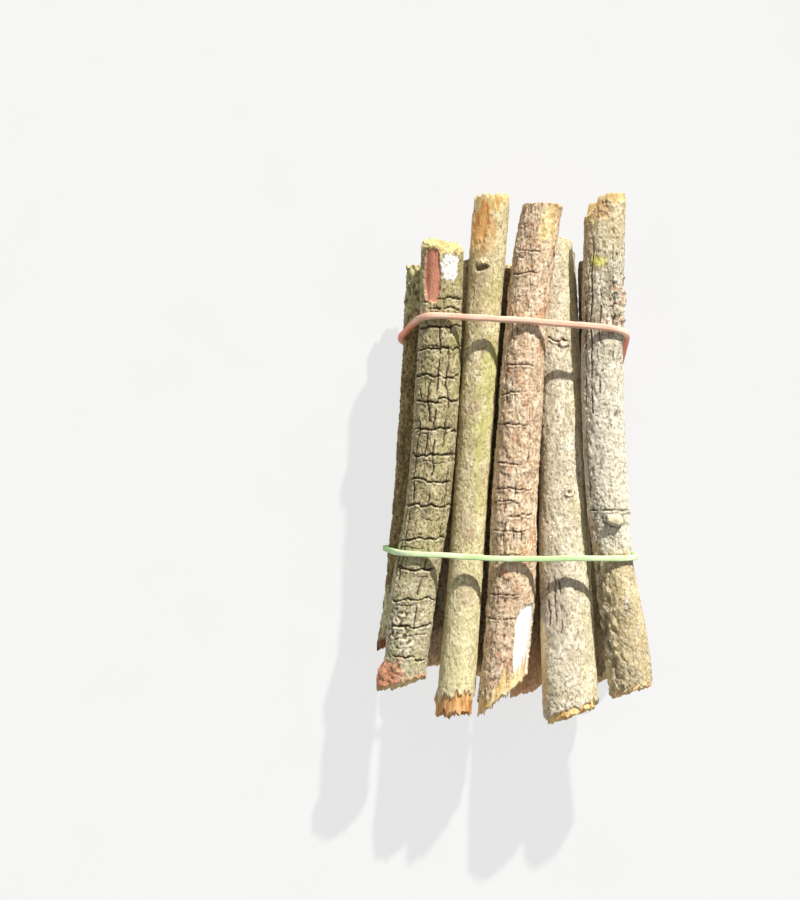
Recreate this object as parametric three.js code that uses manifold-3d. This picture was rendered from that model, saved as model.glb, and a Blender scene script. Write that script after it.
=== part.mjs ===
// A bundle of fourteen cut twigs held by two rubber bands, lying on its side.
// Millimetres, +Z up. The twigs run along Y with their thin ends towards +Y, and the bundle rests on the
// undersides of the bands, at Z = 0.
import * as THREE from "three";
import * as BufferGeometryUtils from "three/addons/utils/BufferGeometryUtils.js";
import Module from "manifold-3d";

const wasm = await Module();
wasm.setup();

// Driving dimensions
const GAP = 0.35; // between twigs that touch
const BAND_GAP = 0.5; // between a band and the bark under it, which slopes under the band's width
const BAND_WIDTH = 2;
const BAND_THICKNESS = 1.2;

// How finely the solids are made
const SIDES = 14; // round a twig
const ROWS = 18; // along a twig
const STUB_SIDES = 9; // round a broken stub
const SPINE_STEPS = 60; // along a twig's middle line
const STATIONS = 30; // along a twig, where it is tested against those under it
const ARC_STEPS = 24; // round a twig, where a band is wrapped over it

// Growth and cutting
const CUT_REACH = 0.2; // share of a twig's length over which a slanted cut moves its bark
const OVAL = 0.018; // how far a twig is from round, as a share of its radius
const LUMPS = 0.012; // how lumpy it is, in the same way
const STUB_TAPER = 0.8; // a stub's outer radius over its root's
const STUB_ROOT = 0.4; // where a stub starts, as a share of the twig's radius
const BARK_ROUGHNESS = 0.9;
const RUBBER_ROUGHNESS = 0.55;

// The bands. Each lies in a slanted plane: y is where it crosses the crown of the bundle at x = 0, drop is
// how far it falls back along Y for each millimetre down, and slew for each millimetre to the right.
const BANDS = [
  { name: "band_coral", colour: 0xe07a5f, y: 40.7, drop: 0.28, slew: 0.062 },
  { name: "band_green", colour: 0x8fdc86, y: -28.8, drop: -0.02, slew: 0.02 },
];

// The twigs, in the order they are laid, from the surface up. Each spine lists the middle line as seen from
// above, from the butt to the thin end, as [x, y, diameter]. How high a twig lies is worked out below.
// The slants tilt the cuts at the butt and at the thin end: [shift along Y per mm to the right, per mm up].
// A swelling is a ring round the twig. A stub is what is left of a broken side shoot, and its angle is
// measured from +X towards +Z.
const TWIGS = [
  {
    name: "twig_under_1",
    colour: 0x7d6c55,
    spine: [[-29, -63, 12], [-25.2, -28, 12], [-20.4, 41, 11.4], [-19.6, 59, 11.2]],
    slants: [[0.15, 0.2], [-0.1, 0.1]],
  },
  {
    name: "twig_under_2",
    colour: 0x8b7a60,
    spine: [[-14.5, -66, 12], [-12, -28, 12], [-8, 41, 11.4], [-7.8, 61, 11.2]],
    slants: [[-0.2, -0.1], [0.1, 0.15]],
  },
  {
    name: "twig_under_3",
    colour: 0x9a6b42,
    spine: [[4.7, -72, 11.2], [3.6, -28, 11.2], [4, 41, 10.8], [3.6, 60, 10.4]],
    slants: [[0.3, 0.25], [0.1, -0.1]],
  },
  {
    name: "twig_under_4",
    colour: 0x6f6553,
    spine: [[16, -65, 11], [15.4, -28, 11], [15.6, 41, 10.8], [14.6, 64, 10.6]],
    slants: [[0.1, -0.15], [-0.15, 0.1]],
  },
  {
    name: "twig_under_5",
    colour: 0x83765f,
    spine: [[31, -63, 10.6], [29, -28, 10.6], [28, 41, 10.2], [27.8, 62, 10]],
    slants: [[0.2, 0.1], [0.1, 0.2]],
  },
  {
    name: "twig_side",
    colour: 0x6d6047,
    spine: [[-36.3, -56, 10.8], [-32.5, -27, 10.8], [-28.7, 24, 10.8], [-26.9, 57, 10.6]],
    slants: [[0.4, -0.2], [-0.3, 0.1]],
  },
  {
    name: "twig_inner_left",
    colour: 0x8a7560,
    spine: [[-21.5, -62.5, 10.6], [-18.3, -28, 10.6], [-11.9, 41, 10.4], [-10.4, 60, 10.2]],
    slants: [[0.2, 0.1], [0.1, 0.1]],
  },
  {
    name: "twig_inner_middle",
    colour: 0x7b6a52,
    spine: [[-8.5, -66, 10.4], [-6, -28, 10.6], [-0.6, 41, 10.4], [0.2, 58, 10.2]],
    slants: [[-0.1, 0.2], [0.1, -0.1]],
  },
  {
    name: "twig_inner_right",
    colour: 0x77694f,
    spine: [[26.4, -67, 10.8], [25, -28, 10.8], [25.4, 10, 10.6], [25, 60, 10.2]],
    slants: [[0.3, -0.1], [0.1, 0.1]],
  },
  {
    name: "twig_mossy",
    colour: 0xbab077,
    spine: [[-18, -76.5, 12], [-15.4, -45, 11.2], [-12.1, 1, 11], [-9, 46, 11.2], [-6.7, 78, 11.8]],
    slants: [[0.05, 0.1], [0.05, 0.1]],
    stub: { y: -73, angle: 190, radius: 2.4, length: 1.6 },
  },
  {
    name: "twig_smooth",
    colour: 0xb4a988,
    spine: [[17, -77, 15.6], [15.7, -46, 14.8], [14.2, 11, 13.8], [12.4, 43, 13.2], [11.2, 66.5, 12.4]],
    slants: [[0.35, 0.1], [-0.1, 0.1]],
  },
  {
    name: "twig_brown",
    colour: 0xa9855f,
    spine: [[-3.6, -71.5, 15.2], [-1.1, -48, 14.6], [1, 5, 13.8], [5.2, 56, 13.2], [8.4, 75.3, 12.4]],
    slants: [[0.85, 0.1], [-0.05, 0.1]],
  },
  {
    name: "twig_scaly",
    colour: 0x8f8a62,
    spine: [[-33, -67.5, 13], [-30.4, -41, 13.6], [-25.8, -12, 13.4], [-23, 24, 13.2], [-21.6, 64, 12.6]],
    slants: [[0.3, 0.2], [-0.15, -0.25]],
    stub: { y: -65, angle: 170, radius: 3.4, length: 1.8 },
  },
  {
    name: "twig_knotted",
    colour: 0x9b9179,
    spine: [[35, -70, 13.6], [32, -46, 13], [29.6, -31, 11.6], [27.8, -12, 13], [26.4, 17, 13], [27.2, 78, 13]],
    slants: [[0.3, 0.1], [0.2, 0.1]],
    swelling: { y: -15.5, rise: 0.7, reach: 3 },
    stub: { y: -20, angle: 80, radius: 2.2, length: 1.3 },
  },
];

// A twig's middle line and radius at many places, worked out from its few driving sections.
function traceSpine({ spine, swelling }) {
  const curve = new THREE.CatmullRomCurve3(
    spine.map(([x, y, diameter]) => new THREE.Vector3(x, y, diameter / 2)),
  );
  return curve.getPoints(SPINE_STEPS).map(({ x, y, z: radius }) => {
    const bulge = swelling ? swelling.rise * Math.exp(-(((y - swelling.y) / swelling.reach) ** 2)) : 0;
    return { x, y, radius: radius + bulge };
  });
}

// The twig's section in the plane square to Y at y.
function sectionAt(trace, y) {
  const last = trace.length - 2;
  const found = trace.findIndex((point) => point.y > y) - 1;
  const index = found < -1 ? last : THREE.MathUtils.clamp(found, 0, last);
  const [from, to] = [trace[index], trace[index + 1]];
  const share = (y - from.y) / (to.y - from.y);
  return {
    x: THREE.MathUtils.lerp(from.x, to.x, share),
    radius: THREE.MathUtils.lerp(from.radius, to.radius, share),
  };
}

// The lowest that a twig's middle line can lie at y, over the surface and the twigs laid before it.
function lowestAt(trace, laid, y) {
  const here = sectionAt(trace, y);
  let height = BAND_THICKNESS + BAND_GAP + here.radius;
  for (const under of laid) {
    if (y < under.trace[0].y || y > under.trace.at(-1).y) {
      continue;
    }
    const there = sectionAt(under.trace, y);
    const reach = here.radius + there.radius + GAP;
    const aside = here.x - there.x;
    if (Math.abs(aside) < reach) {
      height = Math.max(height, under.heightAt(y) + Math.sqrt(reach ** 2 - aside ** 2));
    }
  }
  return height;
}

// Lays a stiff twig on the others: of the straight lines that clear every place under it and touch one on
// each side of its middle, it takes the one that is lowest there.
function layDown(trace, laid) {
  const start = trace[0].y;
  const end = trace.at(-1).y;
  const middle = (start + end) / 2;
  const places = Array.from({ length: STATIONS + 1 }, (_, i) => {
    const y = THREE.MathUtils.lerp(start, end, i / STATIONS);
    return { y, height: lowestAt(trace, laid, y) };
  });
  let best = { height: Infinity };
  for (const near of places.filter(({ y }) => y < middle)) {
    for (const far of places.filter(({ y }) => y >= middle)) {
      const slope = (far.height - near.height) / (far.y - near.y);
      const height = near.height + slope * (middle - near.y);
      const clears = places.every((place) => height + slope * (place.y - middle) > place.height - 1e-6);
      if (clears && height < best.height) {
        best = { height, slope };
      }
    }
  }
  return (y) => best.height + best.slope * (y - middle);
}

// How round the twig is at an angle and a share of its length: wood grows a little oval and lumpy. It is
// never over 1, so that a twig stays inside the round section that it was laid with.
function roundness(angle, share, phase) {
  const oval = OVAL * (1 + Math.sin(2 * angle + phase));
  const lumps = LUMPS * (1 + Math.sin(3 * angle + 9 * share + 2 * phase));
  return 1 - oval - lumps;
}

// Moves a plain cylinder's points onto the twig, with its two cuts slanted.
function shapeTwig({ slants, trace, heightAt, phase }) {
  const geometry = new THREE.CylinderGeometry(1, 1, 1, SIDES, ROWS);
  geometry.deleteAttribute("normal");
  geometry.deleteAttribute("uv");
  const points = geometry.attributes.position;
  const start = trace[0].y;
  const end = trace.at(-1).y;
  for (let i = 0; i < points.count; i += 1) {
    const share = points.getY(i) + 0.5;
    const y = THREE.MathUtils.lerp(start, end, share);
    const { x, radius } = sectionAt(trace, y);
    const size = radius * roundness(Math.atan2(points.getZ(i), points.getX(i)), share, phase);
    const aside = points.getX(i) * size;
    const up = points.getZ(i) * size;
    const atButt = 1 - THREE.MathUtils.smoothstep(share, 0, CUT_REACH);
    const atTip = THREE.MathUtils.smoothstep(share, 1 - CUT_REACH, 1);
    const [butt, tip] = slants.map(([perRight, perUp]) => perRight * aside + perUp * up);
    points.setXYZ(i, x + aside, y + atButt * butt + atTip * tip, heightAt(y) + up);
  }
  return BufferGeometryUtils.mergeVertices(geometry);
}

// A short broken side shoot, rooted inside the twig, whose length is what stands out of the bark.
function shapeStub({ trace, heightAt, stub }) {
  const { x, radius } = sectionAt(trace, stub.y);
  const root = STUB_ROOT * radius;
  const length = radius - root + stub.length;
  const geometry = new THREE.CylinderGeometry(STUB_TAPER * stub.radius, stub.radius, length, STUB_SIDES, 1);
  geometry.deleteAttribute("normal");
  geometry.deleteAttribute("uv");
  geometry.translate(0, root + length / 2, 0);
  geometry.rotateZ(-Math.PI / 2);
  geometry.rotateY(-THREE.MathUtils.degToRad(stub.angle));
  geometry.translate(x, stub.y, heightAt(stub.y));
  return BufferGeometryUtils.mergeVertices(geometry);
}

function toSolid(geometry) {
  return new wasm.Manifold(
    new wasm.Mesh({
      numProp: 3,
      vertProperties: new Float32Array(geometry.attributes.position.array),
      triVerts: new Uint32Array(geometry.index.array),
    }),
  );
}

function joined(first, second) {
  const mesh = toSolid(first).add(toSolid(second)).getMesh();
  const geometry = new THREE.BufferGeometry();
  geometry.setAttribute("position", new THREE.BufferAttribute(mesh.vertProperties, 3));
  geometry.setIndex(new THREE.BufferAttribute(mesh.triVerts, 1));
  return geometry;
}

// The convex outline round a set of points, turning left, which is the path of a tight band.
function outlineAround(points) {
  const sorted = [...points].sort((a, b) => a.x - b.x || a.y - b.y);
  const half = (list) => {
    const kept = [];
    for (const point of list) {
      while (kept.length > 1 && turn(kept.at(-2), kept.at(-1), point) <= 1e-3) {
        kept.pop();
      }
      kept.push(point);
    }
    return kept.slice(0, -1);
  };
  return [...half(sorted), ...half(sorted.reverse())];
}

function turn(from, corner, to) {
  return (corner.x - from.x) * (to.y - corner.y) - (corner.y - from.y) * (to.x - corner.x);
}

// Where the band's plane passes a point of the bundle.
function bandY(band, crown, x, z) {
  return band.y - band.drop * (crown - z) - band.slew * x;
}

// The outline of all twigs in the band's plane, let out by a distance.
function wrap(band, crown, twigs, out) {
  const points = [];
  for (const { trace, heightAt } of twigs) {
    const y = bandY(band, crown, sectionAt(trace, band.y).x, heightAt(band.y));
    const { x, radius } = sectionAt(trace, y);
    for (let i = 0; i < ARC_STEPS; i += 1) {
      const angle = (2 * Math.PI * i) / ARC_STEPS;
      points.push(
        new THREE.Vector2(
          x + (radius + out) * Math.cos(angle),
          heightAt(y) + (radius + out) * Math.sin(angle),
        ),
      );
    }
  }
  return outlineAround(points);
}

function shapeBand(band, twigs) {
  const crown = Math.max(
    ...twigs.map(({ trace, heightAt }) => heightAt(band.y) + sectionAt(trace, band.y).radius),
  );
  const shape = new THREE.Shape(wrap(band, crown, twigs, BAND_GAP + BAND_THICKNESS));
  shape.holes.push(new THREE.Path(wrap(band, crown, twigs, BAND_GAP)));
  const geometry = new THREE.ExtrudeGeometry(shape, { depth: BAND_WIDTH, bevelEnabled: false });
  geometry.deleteAttribute("normal");
  geometry.deleteAttribute("uv");
  geometry.translate(0, 0, -BAND_WIDTH / 2);
  geometry.rotateX(Math.PI / 2);
  const points = geometry.attributes.position;
  for (let i = 0; i < points.count; i += 1) {
    points.setY(i, points.getY(i) + bandY(band, crown, points.getX(i), points.getZ(i)));
  }
  return BufferGeometryUtils.mergeVertices(geometry);
}

function addPiece(group, name, geometry, colour, roughness) {
  const material = new THREE.MeshStandardMaterial({ color: colour, roughness, metalness: 0 });
  const mesh = new THREE.Mesh(geometry, material);
  mesh.name = name;
  group.add(mesh);
}

const twigs = [];
for (const [index, twig] of TWIGS.entries()) {
  const trace = traceSpine(twig);
  twigs.push({ ...twig, trace, heightAt: layDown(trace, twigs), phase: 1.7 * index });
}

const bundle = new THREE.Group();
for (const twig of twigs) {
  const body = shapeTwig(twig);
  const geometry = twig.stub ? joined(body, shapeStub(twig)) : body;
  addPiece(bundle, twig.name, geometry, twig.colour, BARK_ROUGHNESS);
}
for (const band of BANDS) {
  addPiece(bundle, band.name, shapeBand(band, twigs), band.colour, RUBBER_ROUGHNESS);
}

// The origin goes to the middle of the bundle's footprint, on the surface that it lies on.
const box = new THREE.Box3().setFromObject(bundle);
const centre = box.getCenter(new THREE.Vector3());
bundle.position.set(-centre.x, -centre.y, -box.min.z);

export default bundle;
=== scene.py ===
import math

import bmesh
import bpy
import numpy as np
from mathutils import Matrix, Vector
from mathutils.bvhtree import BVHTree


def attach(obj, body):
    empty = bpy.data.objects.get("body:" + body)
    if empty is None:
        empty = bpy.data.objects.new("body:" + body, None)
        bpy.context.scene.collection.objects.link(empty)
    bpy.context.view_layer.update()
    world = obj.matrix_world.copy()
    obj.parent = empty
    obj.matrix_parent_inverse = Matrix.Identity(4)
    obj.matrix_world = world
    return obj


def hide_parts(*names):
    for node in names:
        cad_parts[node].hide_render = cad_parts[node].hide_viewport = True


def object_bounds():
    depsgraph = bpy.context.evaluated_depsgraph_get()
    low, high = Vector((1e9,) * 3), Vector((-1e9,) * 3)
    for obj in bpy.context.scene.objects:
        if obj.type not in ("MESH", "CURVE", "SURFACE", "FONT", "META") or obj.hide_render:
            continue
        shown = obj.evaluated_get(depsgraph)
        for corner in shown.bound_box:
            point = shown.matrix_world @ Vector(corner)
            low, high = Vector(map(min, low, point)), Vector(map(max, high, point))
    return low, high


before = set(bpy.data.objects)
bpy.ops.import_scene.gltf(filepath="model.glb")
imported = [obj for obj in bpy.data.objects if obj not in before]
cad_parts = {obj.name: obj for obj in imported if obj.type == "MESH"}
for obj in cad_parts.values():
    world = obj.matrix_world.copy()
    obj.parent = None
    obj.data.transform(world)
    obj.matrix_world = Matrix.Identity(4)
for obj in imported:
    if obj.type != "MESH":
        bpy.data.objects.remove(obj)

cad_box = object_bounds()


# ---- The five twigs underneath ---------------------------------------------------------------------------
# Five straight hardwood twigs, cut to length with hand shears. They lie side by side on the table, carry
# the others and are held by the tension of the bands. Their bark is dry, grey-brown and thin.

MM = 0.001

DIRECTIONS = 64  # read round each slice of a CAD twig
STATIONS = 72  # slices read along it
WIDEST = 8.0  # mm, no twig's radius is larger
CLEAR = 0.5  # mm that the first and last slice keep from the slanting cuts
HALFWAY = 8.0  # mm each side of half length, where the search for the middle line starts
BEND_DEGREE = 5  # of the curve through the middles of the slices
KEPT_WAVES = 8  # ripples round a slice past this many are the CAD facets and are smoothed away
FACE_ROWS = 16  # rings of points on each cut end
ROUND = np.arange(DIRECTIONS) * 2 * math.pi / DIRECTIONS
COMPASS = np.stack((np.cos(ROUND), np.sin(ROUND)), axis=1)

LATTICE = 256  # cells before the noise repeats
SEED_STEP = 31.7  # cells between one seed's noise and the next
NOISE_GAIN = 1.6
chance = np.random.default_rng(5)
SHUFFLED = chance.permutation(LATTICE)
SLOPES = chance.normal(size=(LATTICE, 3))
SLOPES /= np.linalg.norm(SLOPES, axis=1)[:, None]


def keep_inside(place):
    """Points in mm, brought back to the sides of the CAD box where they stand proud of it."""
    return np.clip(place, np.array(cad_box[0]) / MM, np.array(cad_box[1]) / MM)


def noise(points, seed):
    """Smooth noise from about -1 to 1, at points given in units of its own grain."""
    points = points + SEED_STEP * seed
    cell = np.floor(points).astype(int)
    part = points - cell
    fade = part**3 * (part * (part * 6 - 15) + 10)
    total = np.zeros(len(points))
    for corner in np.ndindex(2, 2, 2):
        x, y, z = ((cell + corner) % LATTICE).T
        pick = SHUFFLED[(SHUFFLED[(SHUFFLED[x] + y) % LATTICE] + z) % LATTICE]
        weight = np.prod(np.where(corner, fade, 1 - fade), axis=1)
        total += weight * np.einsum("ij,ij->i", SLOPES[pick], part - corner)
    return NOISE_GAIN * total


def ease(value, low, high):
    """0 below low, 1 above high and a smooth step between them."""
    part = np.clip((value - low) / (high - low), 0, 1)
    return part * part * (3 - 2 * part)


def cut_plane(mesh, side):
    """A twig's cut end, at its tip (1) or its butt (-1): its middle in mm and its two slopes."""
    count = len(mesh.polygons)
    normal, centre, area = np.empty(count * 3), np.empty(count * 3), np.empty(count)
    mesh.polygons.foreach_get("normal", normal)
    mesh.polygons.foreach_get("center", centre)
    mesh.polygons.foreach_get("area", area)
    normal, centre = normal.reshape(-1, 3), centre.reshape(-1, 3) / MM
    facing = area * (normal[:, 1] * side > 0.5)
    in_plane = normal @ normal[facing.argmax()] > 0.98
    weight = facing * in_plane
    middle = weight @ centre / weight.sum()
    across, along, up = weight @ normal
    return middle, -across / along, -up / along


def outline(tree, middle, y):
    """How far it is from a point inside a twig out to its surface, all round."""
    start = Vector((middle[0], y, middle[1]))
    return np.array([tree.ray_cast(start, Vector((c, 0, s)))[3] for c, s in COMPASS])


start_meshes = {}


def start_ball(around, along):
    """A closed ball with even rows and columns, which is drawn out into a twig."""
    if (around, along) not in start_meshes:
        ball = bmesh.new()
        bmesh.ops.create_uvsphere(ball, u_segments=around, v_segments=along, radius=1)
        mesh = bpy.data.meshes.new("start_ball")
        ball.to_mesh(mesh)
        ball.free()
        start_meshes[around, along] = mesh
    return start_meshes[around, along].copy()


class Twig:
    """A twig in the making: where the points of its skin lie, in mm, and the marks that its bark bears.

    Of the marks, "wood" is bare wood at the butt, "end" at the tip and "inner" under lost bark.
    """

    MARKS = ("wood", "end", "inner", "crack_and_shadow", "pale", "stain_and_shade", "moss", "white")

    def __init__(self, name, fineness, tip_cut, butt_cut, seed, notch=(0.0, 0.0, 1.0)):
        self.name, self.seed = name, seed
        along = fineness[1]
        self.mesh = start_ball(*fineness)
        self.read(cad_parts[name].data)
        spot = np.empty(len(self.mesh.vertices) * 3)
        self.mesh.vertices.foreach_get("co", spot)
        x, y, z = spot.reshape(-1, 3).T
        row = np.rint(np.arccos(np.clip(z, -1, 1)) / math.pi * along)
        self.turn = -np.arctan2(y, x)
        self.side = np.clip((row - FACE_ROWS) / (along - 2 * FACE_ROWS), 0, 1)
        self.share = np.clip(np.minimum(row, along - row) / FACE_ROWS, 0, 1) ** 0.8
        self.girth = self.reach.mean()
        angle, deep, wide = notch
        tip = self.cut_height(self.tip, tip_cut, seed + 1)
        tip -= deep * self.share * (1 - ease(np.abs(self.arc(angle)), 0.7 * wide, wide))
        butt = self.cut_height(self.butt, butt_cut, seed + 2)
        self.y = tip + (butt - tip) * self.side
        self.down = tip - self.y  # mm from the tip's rim
        self.up = self.y - butt  # mm from the butt's rim
        self.depth = np.zeros(len(row))
        self.marks = {mark: np.zeros(len(row)) for mark in self.MARKS}
        face = 1 - ease(self.share, 0.86, 0.95)
        self.marks["end"] = face * (self.side < 0.5)
        self.marks["wood"] = face * (self.side > 0.5)
        self.fibres = []
        self.luck = np.random.default_rng(seed)

    def read(self, cad):
        """Reads the middle line, the reach all round it and the two cuts from the CAD twig."""
        self.tip, self.butt = cut_plane(cad, 1), cut_plane(cad, -1)
        low = self.butt[0][1] + WIDEST * math.hypot(*self.butt[1:]) + CLEAR
        high = self.tip[0][1] - WIDEST * math.hypot(*self.tip[1:]) - CLEAR
        self.heights = np.linspace(low, high, STATIONS)
        points = np.array([v.co for v in cad.vertices]) / MM
        tree = BVHTree.FromPolygons(points.tolist(), [p.vertices[:] for p in cad.polygons])
        near = np.abs(points[:, 1] - self.heights.mean()) < HALFWAY
        middles = np.empty((STATIONS, 2))
        half = STATIONS // 2
        for stations in (range(half, STATIONS), range(half - 1, -1, -1)):
            here = points[near][:, (0, 2)].mean(axis=0)
            for k in stations:
                far = outline(tree, here, self.heights[k])
                here = here + 2 / 3 * (far**3 @ COMPASS) / (far**2).sum()
                middles[k] = here
        self.bend = np.polyfit(self.heights - self.heights[0], middles, BEND_DEGREE)
        reach = np.array([outline(tree, self.middle(y)[0], y) for y in self.heights])
        waves = np.fft.rfft(reach, axis=1)
        waves /= 1 + (np.arange(waves.shape[1]) / KEPT_WAVES) ** 6
        reach = np.fft.irfft(waves, DIRECTIONS, axis=1)
        padded = np.pad(reach, ((1, 1), (0, 0)), mode="edge")
        self.reach = 0.25 * padded[:-2] + 0.5 * padded[1:-1] + 0.25 * padded[2:]

    def middle(self, y):
        """The middle line (x, z) at heights along the twig. Past the whole slices it runs on straight."""
        y = np.atleast_1d(y)
        inside = np.clip(y, self.heights[0], self.heights[-1])
        span = inside - self.heights[0]
        slope = [np.polyval(np.polyder(axis), span) for axis in self.bend.T]
        place = [np.polyval(axis, span) for axis in self.bend.T]
        return (np.array(place) + np.array(slope) * (y - inside)).T

    def reach_at(self, y):
        """The radius of the CAD twig at each point's turn and a height along it."""
        column = self.turn / (2 * math.pi) % 1 * DIRECTIONS
        row = np.clip(y, self.heights[0], self.heights[-1]) - self.heights[0]
        row *= (STATIONS - 1) / (self.heights[-1] - self.heights[0])
        left = np.floor(column).astype(int)
        low = np.minimum(np.floor(row).astype(int), STATIONS - 2)
        across, along = column - left, row - low
        left, right = left % DIRECTIONS, (left + 1) % DIRECTIONS
        lower = self.reach[low, left] * (1 - across) + self.reach[low, right] * across
        upper = self.reach[low + 1, left] * (1 - across) + self.reach[low + 1, right] * across
        return lower * (1 - along) + upper * along

    def cut_height(self, plane, cut, seed):
        """How high a cut end stands at each point: its plane, its torn teeth and the grain of its wood."""
        middle, across, up = plane
        torn, tooth, grain = cut
        out = self.share * self.reach_at(middle[1])
        x, z = out * np.cos(self.turn), out * np.sin(self.turn)
        flat = np.stack((x, np.zeros(len(x)), z), axis=1)
        teeth = 0.9 * noise(flat / tooth, seed) + 0.45 * noise(flat / tooth * 2.4, seed + 1)
        fibres = noise(flat / 0.75, seed + 2)
        return middle[1] + across * x + up * z + torn * teeth + grain * fibres

    def grain(self, around, along, seed, at=slice(None)):
        """Noise over the skin or some of its points, with lumps so many mm round the twig and along it."""
        out, turn = self.share[at] * self.girth, self.turn[at]
        place = (out * np.cos(turn) / around, self.y[at] / along, out * np.sin(turn) / around)
        return noise(np.stack(place, axis=1), self.seed + seed)

    def arc(self, angle, at=slice(None)):
        """How far round the twig each point is from an angle in degrees, in mm. 90 degrees faces up."""
        away = (self.turn[at] - math.radians(angle) + math.pi) % (2 * math.pi) - math.pi
        return self.girth * away

    def spot(self, angle, height, wide, tall, ragged=0.3, soft=0.12, lean=0.0, seed=0):
        """A patch on the skin, 1 inside it: wide and tall are its half sizes, height is its y, in mm."""
        along = self.y - height
        across = (self.arc(angle) - lean * along) / wide
        far = (np.abs(across) ** 3 + np.abs(along / tall) ** 3) ** (1 / 3)
        far += ragged * (self.grain(1.6, 2.2, 40 + seed) + 0.5 * self.grain(0.7, 0.9, 41 + seed))
        return 1 - ease(far, 1 - soft, 1 + soft)

    def mark(self, kind, amount, at=slice(None)):
        """Lays a mark over what the skin already bears."""
        self.marks[kind][at] = 1 - (1 - self.marks[kind][at]) * (1 - np.clip(amount, 0, 1))

    def dome(self, angle, height, wide, tall, rise):
        """An oval boss such as the stub of a side shoot, with a dark ring round its foot."""
        ring = np.hypot(self.arc(angle) / wide, (self.y - height) / tall) + 0.35 * self.grain(1.3, 1.3, 62)
        top = 1 - ease(ring, 0.6, 1.1)
        for mark in ("crack_and_shadow", "stain_and_shade", "moss"):
            self.marks[mark] *= 1 - top
        self.depth = self.depth * (1 - 0.6 * top) + rise * top
        self.mark("inner", 0.45 * top)
        self.mark("crack_and_shadow", 0.7 * np.exp(-(((ring - 1.2) / 0.12) ** 2)))

    def roughen(self, lumps=0.3, furrows=0.2, flakes=0.12, furrow_width=1.3, furrow_length=9.0, dirt=0.5):
        """The bark's unevenness: slow lumps, furrows along the grain, small flakes and pores."""
        self.depth += lumps * (self.grain(8, 24, 3) + 0.6 * self.grain(3.5, 8, 4))
        line = 1 - ease(np.abs(self.grain(furrow_width, furrow_length, 5)), 0.02, 0.14)
        line *= ease(self.grain(2.5, 5, 6), -0.2, 0.3)
        self.depth -= furrows * line
        flake = ease(self.grain(1.4, 2.4, 7) + 0.4 * self.grain(0.6, 0.9, 10), -0.04, 0.1)
        self.depth += flakes * (flake - 0.5) + 0.7 * flakes * self.grain(0.65, 0.9, 8)
        pore = ease(self.grain(0.75, 0.95, 9), 0.3, 0.5)
        self.depth -= 0.8 * flakes * pore
        self.mark("crack_and_shadow", dirt * (0.8 * line + 0.8 * pore))
        self.mark("pale", 0.5 * ease(self.grain(0.7, 1.1, 11), 0.2, 0.45) * flake)

    def bare(self, patch, kind, drop):
        """Takes the bark off a patch down to smooth wood or inner bark, drop mm below it."""
        fibres = 0.07 * self.grain(0.6, 9, 14)
        self.depth = self.depth * (1 - patch) + (fibres - drop) * patch
        for mark in ("crack_and_shadow", "pale", "stain_and_shade", "moss"):
            self.marks[mark] *= 1 - patch
        self.mark(kind, patch)

    def bare_end(self, end, length, ragged, drop=0.45):
        """Bark torn off the wood at one end, back to a ragged edge."""
        away, kind = (self.down, "end") if end == "tip" else (self.up, "wood")
        edge = away + ragged * (self.grain(2.2, 50, 12) + 0.6 * self.grain(0.9, 50, 13))
        self.bare(1 - ease(edge, length - 0.2, length + 0.2), kind, drop)

    def across_crack(self, height, angle, wide, open_mm=0.3, deep=0.5, lip=0.2, wander=0.8, jump=0.0,
                     seed=0):
        """A crack round part of the twig. Its lower lip curls up and is painted pale there, a painted
        highlight where it would catch the light.
        """
        near = np.abs(self.y - height) < 3 + 1.5 * (wander + jump)
        at = np.flatnonzero(near & (np.abs(self.arc(angle)) < wide))
        arc = self.arc(angle, at)
        slow, quick = self.grain(3.2, 80, 20 + seed, at), self.grain(1.1, 80, 21 + seed, at)
        line = height + wander * (slow + 0.35 * quick)
        plate = np.floor(arc / 4.6 + 0.37 * seed + 0.12 * self.grain(1.5, 3, 70, at))
        lattice = np.stack((0.37 * plate, 0.71 * plate, 0.5 + 0.23 * plate), 1)
        line += jump * noise(lattice, seed + self.seed)
        there = 1 - ease(np.abs(arc) / wide, 0.75, 1.0)
        there *= ease(self.grain(2.1, 60, 71 + seed, at), -0.75, -0.4)
        open_mm = open_mm * (1 + 0.6 * self.grain(1.7, 60, 72 + seed, at))
        off = self.y[at] - line
        gap = there * (1 - ease(np.abs(off), 0.4 * open_mm, 1.3 * open_mm))
        curl = there * np.exp(-(((off + 2.0 * open_mm) / (1.3 * open_mm)) ** 2))
        self.depth[at] += lip * curl - deep * gap
        self.mark("crack_and_shadow", gap, at)
        # painted highlight: the curled lip is marked pale
        self.mark("pale", 0.55 * curl * ease(self.grain(1.2, 2, 73 + seed, at), -0.3, 0.4), at)

    def along_crack(self, angle, low, high, open_mm=0.3, deep=0.45, wander=0.7, gaps=0.3, seed=0):
        """A crack along the grain between two heights."""
        near = (self.y > low) & (self.y < high)
        at = np.flatnonzero(near & (np.abs(self.arc(angle)) < 2 + 2 * wander))
        level = np.zeros(len(at))
        wave = noise(np.stack((self.y[at] / 7, level, level), 1), seed + self.seed)
        wave += 0.4 * noise(np.stack((self.y[at] / 1.9, level, level), 1), seed + self.seed + 1)
        off = self.arc(angle, at) + wander * wave
        there = ease(self.y[at], low, low + 2) * (1 - ease(self.y[at], high - 2, high))
        there *= ease(self.grain(50, 4, 74 + seed, at), -gaps, 0.3 - gaps)
        gap = there * (1 - ease(np.abs(off), 0.4 * open_mm, 1.4 * open_mm))
        self.depth[at] -= deep * gap
        self.mark("crack_and_shadow", gap, at)

    ROOT = 2.5  # mm of each splinter inside the wood

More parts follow.
